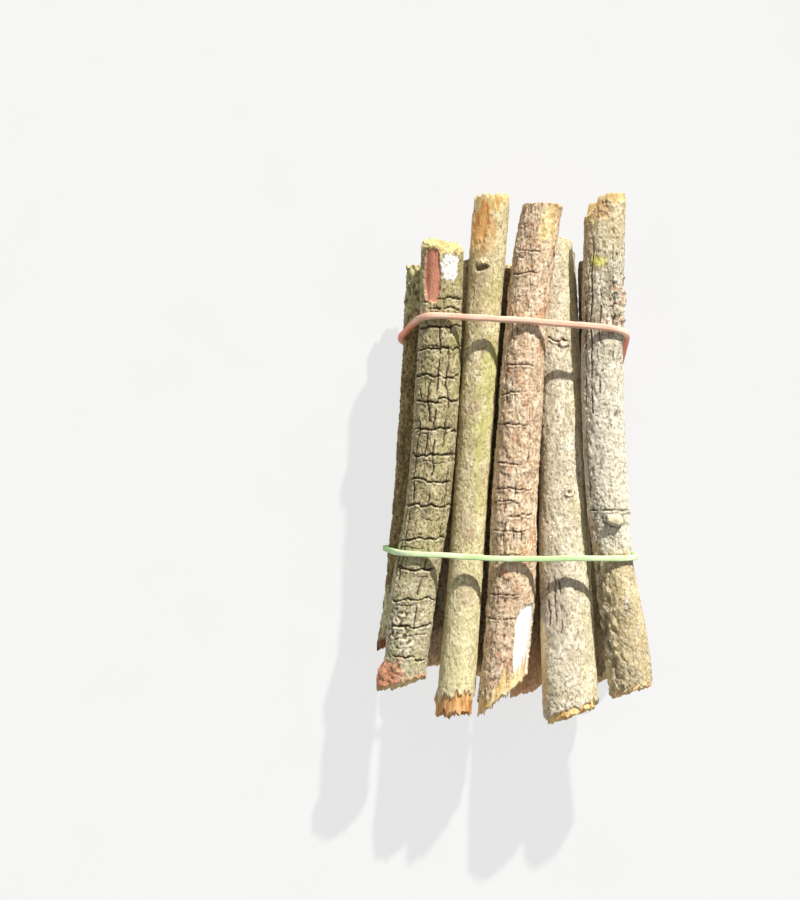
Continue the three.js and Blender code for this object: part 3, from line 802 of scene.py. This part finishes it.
# painted shadow: a dark patch under the torn bark, laid with the crack colour
twig.mark("crack_and_shadow", 0.6 * twig.spot(128, high - 7.0, 2.6, 1.6, ragged=0.5, soft=0.3, seed=7))
twig.bare_end("tip", 2.0, 2.4, drop=0.3)
for mark in ("end", "crack_and_shadow"):
    twig.marks[mark] *= 1 - 0.7 * torn
twig.mark("stain_and_shade", torn)
twig.finish(bark_material(
    "bark_knotted", "b2a890", "dfd8c4", "6d5f4a", moss="dcd860", stain_and_shade="b4764e", washed_and_highlight="efe9d6",
    crack_and_shadow="41301f", wood=("eedaa6", "bd8052"), end=("dcca90", "b8935a"), inner=("e0cc98", "bda068"),
    streaks=0.5, specks=0.8, bump=0.55))


# ---- The rubber bands ------------------------------------------------------------------------------------
# Two flat rubber bands, coral near the tips and green near the butts, stretched once round all the twigs.
# Each is cut from a tube of natural rubber about 2 mm wide, and it bridges the hollows between the twigs.

BAND_STEPS = 420  # round the bundle
BAND_SECTION = 20  # round the rubber's own section
SQUARENESS = 0.45  # power that turns the section's circle into a rounded rectangle
PRESS = 0.45  # mm that the stretched rubber is pulled in on to the bark under it
PAINTED_HIGHLIGHT_FROM = (0.7, 0.88)  # shares of its height between which a band's top is painted paler, a painted highlight of the sun on it


def stretched_band(name, material, seed, bow=0.0):
    """A ring of rubber along the CAD band, rounded and uneven, and bowed so many mm over the top."""
    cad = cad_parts[name].data
    corners = np.array([v.co for v in cad.vertices]) / MM
    tree = BVHTree.FromPolygons(corners.tolist(), [p.vertices[:] for p in cad.polygons])
    flat = np.stack((corners[:, 0] * 0 + 1, corners[:, 0], corners[:, 2]), 1)
    lean = np.linalg.lstsq(flat, corners[:, 1], None)[0]
    half_width = np.abs(corners[:, 1] - lean[0] - corners[:, (0, 2)] @ lean[1:]).max()
    middle = (corners.min(axis=0) + corners.max(axis=0)) / 2
    middle[1] = lean[0] + lean[1] * middle[0] + lean[2] * middle[2]
    top = corners[:, 2].max()
    ring = bmesh.new()
    painted_highlight = ring.verts.layers.float.new("painted_highlight")
    section = bmesh.ops.create_circle(ring, segments=BAND_SECTION, radius=0.2)["verts"]
    bmesh.ops.rotate(ring, verts=section, matrix=Matrix.Rotation(math.pi / 2, 3, "X"))
    bmesh.ops.translate(ring, verts=section, vec=(1, 0, 0))
    bmesh.ops.spin(ring, geom=ring.verts[:] + ring.edges[:], axis=(0, 0, 1), cent=(0, 0, 0), steps=BAND_STEPS,
                   angle=2 * math.pi, use_merge=True)
    reach = {}
    for vert in ring.verts:
        turn = math.atan2(vert.co.y, vert.co.x)
        round_section = math.atan2(vert.co.z, math.hypot(vert.co.x, vert.co.y) - 1)
        key = round(turn * BAND_STEPS / (2 * math.pi))
        if key not in reach:
            c, s = math.cos(turn), math.sin(turn)
            start, way = Vector(middle), Vector((c, lean[1] * c + lean[2] * s, s))
            inner = tree.ray_cast(start, way)[0]
            outer = tree.ray_cast(inner + way * 0.05, way)[0]
            reach[key] = [math.hypot(hit.x - start.x, hit.z - start.z) for hit in (inner, outer)]
        inner, outer = reach[key]
        compass = np.array((math.cos(turn), math.sin(turn), 0.0))
        slow, quick = noise(np.array((4 * compass, 14 * compass + (0.0, 0.0, 9.0))), seed)
        thick, wide = math.cos(round_section), math.sin(round_section)
        thick = math.copysign(abs(thick) ** SQUARENESS, thick)
        wide = math.copysign(abs(wide) ** SQUARENESS, wide)
        out = inner - PRESS + (outer - inner + PRESS) * (thick + 1) / 2
        x, z = middle[0] + out * math.cos(turn), middle[2] + out * math.sin(turn)
        y = lean[0] + lean[1] * x + lean[2] * z
        y += half_width * wide * (0.83 + 0.08 * quick) + 0.15 * slow
        y -= bow * max(math.sin(turn), 0) ** 2
        vert.co = keep_inside((x, y, z)) * MM
        # painted highlight: how much of the paler top colour each point gets, by its height
        vert[painted_highlight] = ease(z / top, *PAINTED_HIGHLIGHT_FROM)
    bmesh.ops.recalc_face_normals(ring, faces=ring.faces[:])
    mesh = bpy.data.meshes.new(name)
    ring.to_mesh(mesh)
    ring.free()
    mesh.shade_smooth()
    mesh.materials.append(material)
    piece = bpy.data.objects.new(name + "_rubber", mesh)
    bpy.context.scene.collection.objects.link(piece)
    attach(piece, "root")
    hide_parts(name)


def rubber_material(name, dye, painted_highlight, painted_highlight_pale, dusty):
    """Dyed rubber whose top is painted paler as a painted highlight, in two tones that change in patches,
    with dust and a fine skin.
    """
    material = bpy.data.materials.new(name)
    material.use_nodes = True
    tree = material.node_tree
    shader = tree.nodes["Principled BSDF"]
    thin = span(tree, mottle(tree, 9, 1.0, 2.0), 0.4, 0.62)
    dust = span(tree, mottle(tree, 0.6, 1.0, 3.0, 0.7, 0.5), 0.56, 0.7, 0.0, 0.6)
    # painted highlight: two paler tones over the band's top, the plain dye below it
    shade = blend(tree, thin, tint(painted_highlight), tint(painted_highlight_pale))
    shade = blend(tree, add(tree, "Attribute", attribute_name="painted_highlight").outputs["Fac"], tint(dye), shade)
    tree.links.new(blend(tree, dust, shade, tint(dusty)), shader.inputs["Base Color"])
    tree.links.new(span(tree, dust, 0.0, 0.6, 0.42, 0.7), shader.inputs["Roughness"])
    skin = mottle(tree, 0.4, 1.0, 2.0, 0.5, 0.9)
    relief = add(tree, "Bump", {"Strength": 0.25, "Distance": 0.1 * MM, "Height": skin})
    tree.links.new(relief.outputs["Normal"], shader.inputs["Normal"])
    shader.inputs["Subsurface Weight"].default_value = 0.15
    shader.inputs["Subsurface Scale"].default_value = 1.0 * MM
    return material


# each band's dye, then the two tones of its painted highlight on top, then its dust
coral = rubber_material("rubber_coral", "ec8450", "f2c0a6", "f6d2bc", "f6dccc")
stretched_band("band_coral", coral, 11)
green = rubber_material("rubber_green", "98cc6c", "c2e2a2", "d8edbe", "e4f0d2")
stretched_band("band_green", green, 12, bow=1.1)


# ---- The table, the light and the camera -----------------------------------------------------------------
# The bundle lies on a plain pale table. A sun from the upper right, low enough for the bands to throw their
# shadows across the hollows, and a soft white sky light it. The camera looks straight down.

TABLE_HALF = 8.0  # m
table = bmesh.new()
bmesh.ops.create_grid(table, x_segments=1, y_segments=1, size=TABLE_HALF)
table_mesh = bpy.data.meshes.new("table")
table.to_mesh(table_mesh)
table.free()
table_object = bpy.data.objects.new("table", table_mesh)
bpy.context.scene.collection.objects.link(table_object)
paper = bpy.data.materials.new("pale_paper")
paper.use_nodes = True
paper_shader = paper.node_tree.nodes["Principled BSDF"]
paper_shade = span(paper.node_tree, mottle(paper.node_tree, 40, 1.0, 2.0), 0.3, 0.7)
paper_colour = blend(paper.node_tree, paper_shade, tint("676767"), tint("6a6a6a"))
paper.node_tree.links.new(paper_colour, paper_shader.inputs["Base Color"])
paper_shader.inputs["Roughness"].default_value = 0.9
paper_shader.inputs["Specular IOR Level"].default_value = 0.0
paper_shader.inputs["Emission Color"].default_value = WHITE
paper_shader.inputs["Emission Strength"].default_value = 0.74
table_mesh.materials.append(paper)

SUN_ELEVATION = math.radians(31)
SUN_TURN = math.radians(66)  # from +X towards +Y
sun = bpy.data.lights.new("sun", "SUN")
sun.energy = 6.0
sun.angle = math.radians(1.6)
sun.color = (1.0, 0.97, 0.9)
sun_object = bpy.data.objects.new("sun", sun)
to_sun = Vector((math.cos(SUN_TURN) * math.cos(SUN_ELEVATION), math.sin(SUN_TURN) * math.cos(SUN_ELEVATION),
                 math.sin(SUN_ELEVATION)))
sun_object.rotation_euler = to_sun.to_track_quat("Z", "Y").to_euler()
bpy.context.scene.collection.objects.link(sun_object)

sky = bpy.data.worlds.new("soft_sky")
sky.use_nodes = True
sky.node_tree.nodes["Background"].inputs["Color"].default_value = WHITE
sky.node_tree.nodes["Background"].inputs["Strength"].default_value = 0.36
bpy.context.scene.world = sky
bpy.context.scene.view_settings.view_transform = "Standard"

CAMERA_ASIDE = 34.35 * MM  # the bundle lies this far right of the picture's middle
CAMERA_BACK = 2.6 * MM  # and this far below it
CAMERA_RISE = 0.7  # m above the upper twigs
UPPER_TWIGS = 0.75  # their height, as a share of the bundle's
PICTURE_TALL = 0.27  # m shown from top to bottom, level with the upper twigs
low, high = cad_box
camera = bpy.data.cameras.new("camera")
camera.sensor_fit = "VERTICAL"
camera.sensor_height = 36
camera.lens = camera.sensor_height * CAMERA_RISE / PICTURE_TALL
camera_object = bpy.data.objects.new("camera", camera)
camera_object.location = ((low.x + high.x) / 2 - CAMERA_ASIDE, (low.y + high.y) / 2 + CAMERA_BACK,
                          UPPER_TWIGS * high.z + CAMERA_RISE)
bpy.context.scene.collection.objects.link(camera_object)
bpy.context.scene.camera = camera_object
